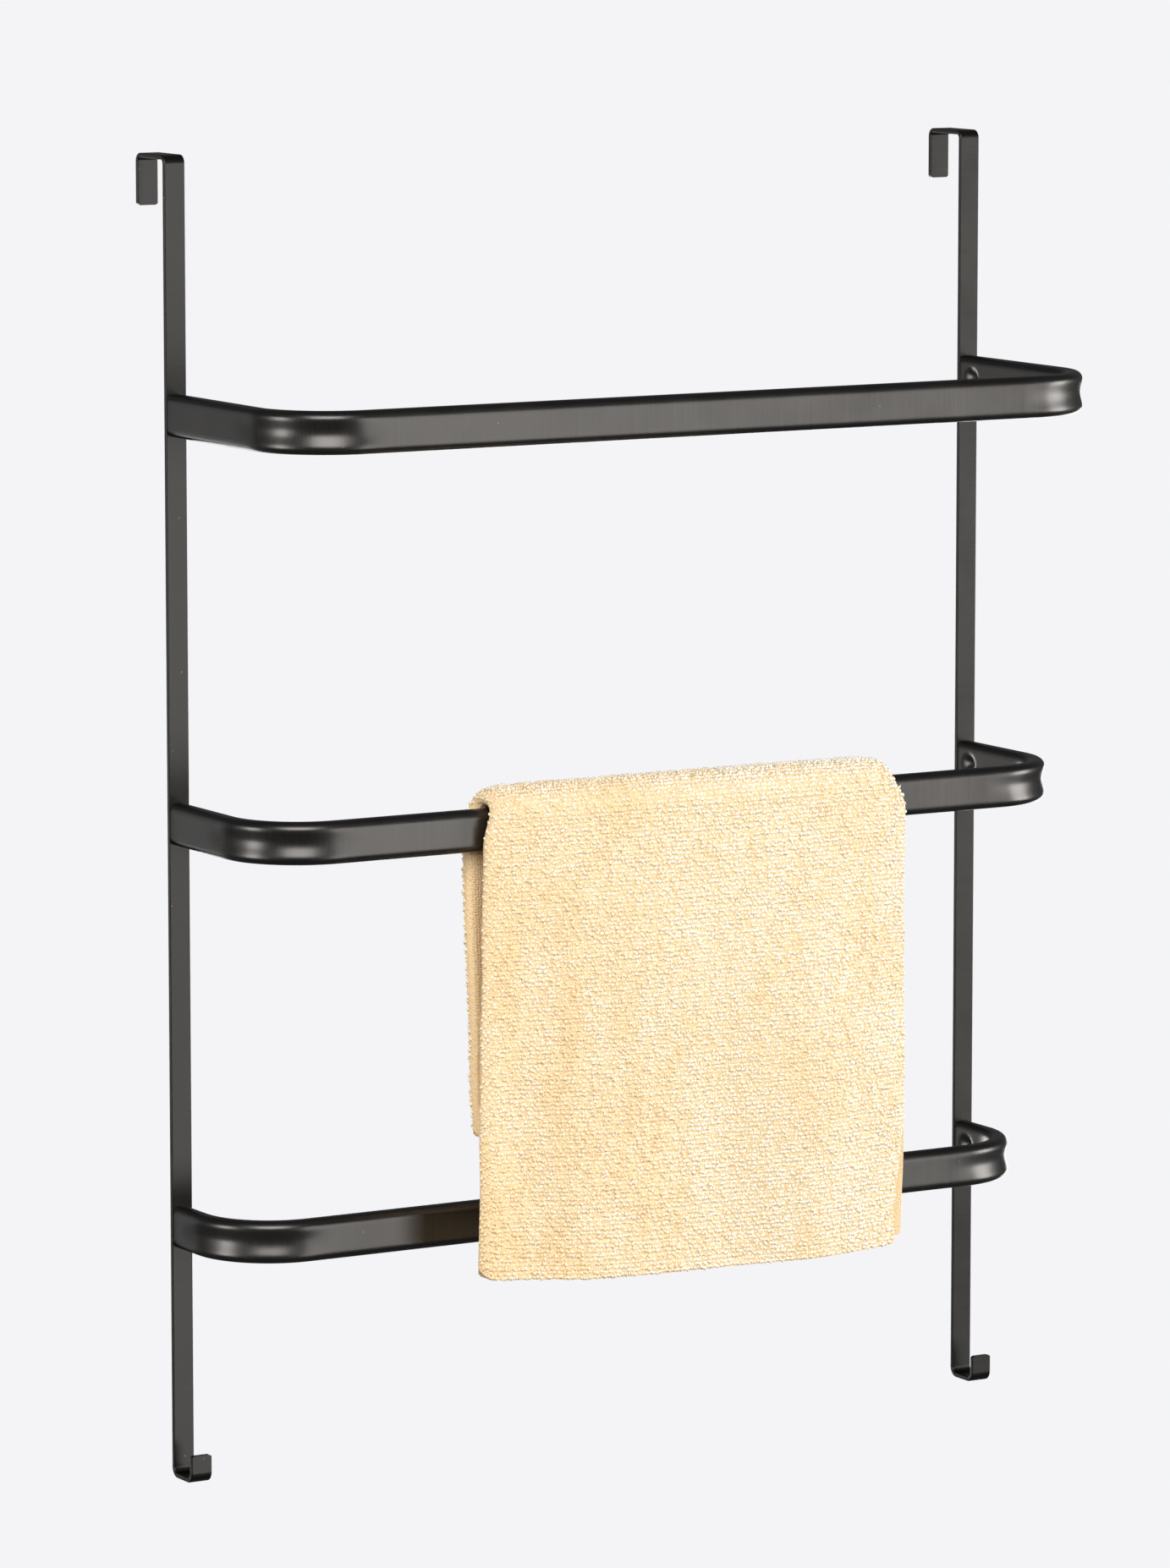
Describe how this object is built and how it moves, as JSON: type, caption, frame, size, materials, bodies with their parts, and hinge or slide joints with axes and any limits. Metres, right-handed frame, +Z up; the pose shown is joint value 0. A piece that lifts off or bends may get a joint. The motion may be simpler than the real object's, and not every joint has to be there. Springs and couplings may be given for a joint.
{
  "type": "over-door towel rack",
  "caption": "Over-the-door towel rack: flat steel strips with door hooks and small bottom hooks, staggered U-shaped tube rails, and a folded terry towel over a rail.",
  "frame": {"origin": "middle of the door's top edge, in the plane of the door's face", "axes": "+X along the rails to the right, -Y out from the door towards the user, +Z up"},
  "size_m": [0.504, 0.1695, 0.7],
  "materials": {
    "strip_steel": "satin anthracite powder coat",
    "rail_steel": "satin anthracite powder coat, slightly glossier at the bends",
    "insert_nylon": "black moulded nylon",
    "screw_steel": "bright zinc plate",
    "terry_cloth": "looped cotton terry"
  },
  "bodies": {
    "rack": {"left_strip": "strip_steel", "right_strip": "strip_steel", "top_rail": "rail_steel", "middle_rail": "rail_steel", "bottom_rail": "rail_steel", "top_rail_left_insert": "insert_nylon", "top_rail_right_insert": "insert_nylon", "middle_rail_left_insert": "insert_nylon", "middle_rail_right_insert": "insert_nylon", "bottom_rail_left_insert": "insert_nylon", "bottom_rail_right_insert": "insert_nylon", "top_rail_left_screw": "screw_steel", "top_rail_right_screw": "screw_steel", "middle_rail_left_screw": "screw_steel", "middle_rail_right_screw": "screw_steel", "bottom_rail_left_screw": "screw_steel", "bottom_rail_right_screw": "screw_steel"},
    "folded_towel": {"towel": "terry_cloth"}
  },
  "joints": [
    {"name": "towel_slide", "type": "slide", "parent": "rack", "child": "folded_towel", "axis": [1, 0, 0], "range_m": [-0.08, 0.068]}
  ]
}
